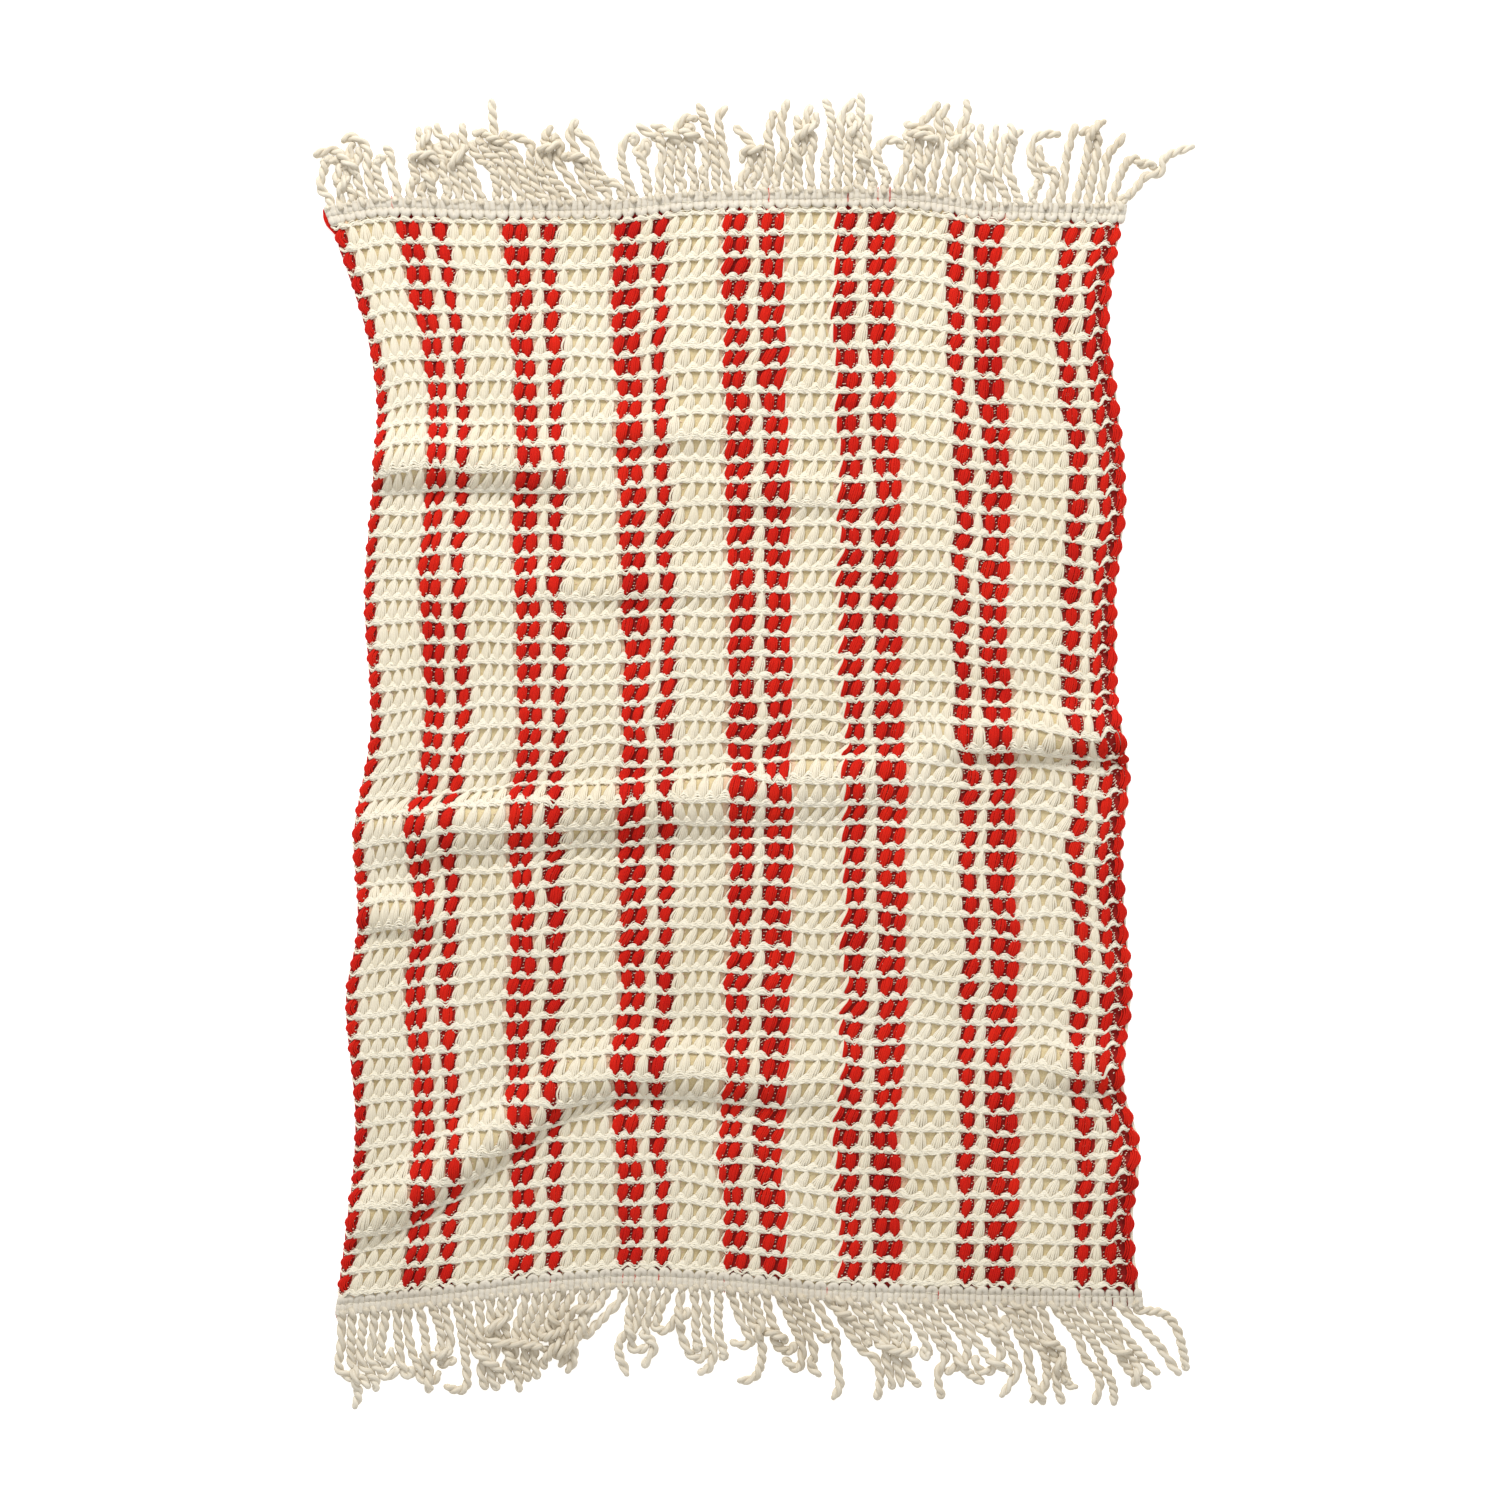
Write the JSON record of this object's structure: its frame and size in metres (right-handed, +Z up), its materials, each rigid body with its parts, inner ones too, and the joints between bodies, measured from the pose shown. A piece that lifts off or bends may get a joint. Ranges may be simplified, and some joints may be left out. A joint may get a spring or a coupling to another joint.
{
  "type": "bath mat",
  "caption": "Honeycomb-woven cotton bath mat with paired lengthwise stripes, a corded heading and a twisted-cord fringe on both ends, lying on the floor.",
  "frame": {"origin": "on the floor, under the middle of the mat's box, fringe included", "axes": "+X across the mat, +Y along its stripes towards the top end, +Z up"},
  "size_m": [0.5439, 0.8197, 0.0157],
  "materials": {
    "red_cotton": "soft matt red cotton yarn",
    "cream_cotton": "soft matt cream cotton yarn",
    "fringe_cotton": "soft thick ecru cotton yarn, twisted",
    "binding_thread": "fine ecru sewing thread"
  },
  "bodies": {
    "root": {"left_selvedge_red": "red_cotton", "cream_block_1": "cream_cotton", "stripe_1_left": "red_cotton", "cream_line_1": "cream_cotton", "stripe_1_right": "red_cotton", "cream_block_2": "cream_cotton", "stripe_2_left": "red_cotton", "cream_line_2": "cream_cotton", "stripe_2_right": "red_cotton", "cream_block_3": "cream_cotton", "stripe_3_left": "red_cotton", "cream_line_3": "cream_cotton", "stripe_3_right": "red_cotton", "cream_block_4": "cream_cotton", "stripe_4_left": "red_cotton", "cream_line_4": "cream_cotton", "stripe_4_right": "red_cotton", "cream_block_5": "cream_cotton", "stripe_5_left": "red_cotton", "cream_line_5": "cream_cotton", "stripe_5_right": "red_cotton", "cream_block_6": "cream_cotton", "stripe_6_left": "red_cotton", "cream_line_6": "cream_cotton", "stripe_6_right": "red_cotton", "cream_block_7": "cream_cotton", "stripe_7_left": "red_cotton", "cream_line_7": "cream_cotton", "stripe_7_right": "red_cotton", "right_selvedge_cream": "cream_cotton", "top_heading": "fringe_cotton", "top_binding_thread": "binding_thread", "top_fringe_01": "fringe_cotton", "top_fringe_02": "fringe_cotton", "top_fringe_03": "fringe_cotton", "top_fringe_04": "fringe_cotton", "top_fringe_05": "fringe_cotton", "top_fringe_06": "fringe_cotton", "top_fringe_07": "fringe_cotton", "top_fringe_08": "fringe_cotton", "top_fringe_09": "fringe_cotton", "top_fringe_10": "fringe_cotton", "top_fringe_11": "fringe_cotton", "bottom_heading": "fringe_cotton", "bottom_binding_thread": "binding_thread", "bottom_fringe_01": "fringe_cotton", "bottom_fringe_02": "fringe_cotton", "bottom_fringe_03": "fringe_cotton", "bottom_fringe_04": "fringe_cotton", "bottom_fringe_05": "fringe_cotton", "bottom_fringe_06": "fringe_cotton", "bottom_fringe_07": "fringe_cotton", "bottom_fringe_08": "fringe_cotton", "bottom_fringe_09": "fringe_cotton", "bottom_fringe_10": "fringe_cotton", "bottom_fringe_11": "fringe_cotton"}
  },
  "joints": []
}
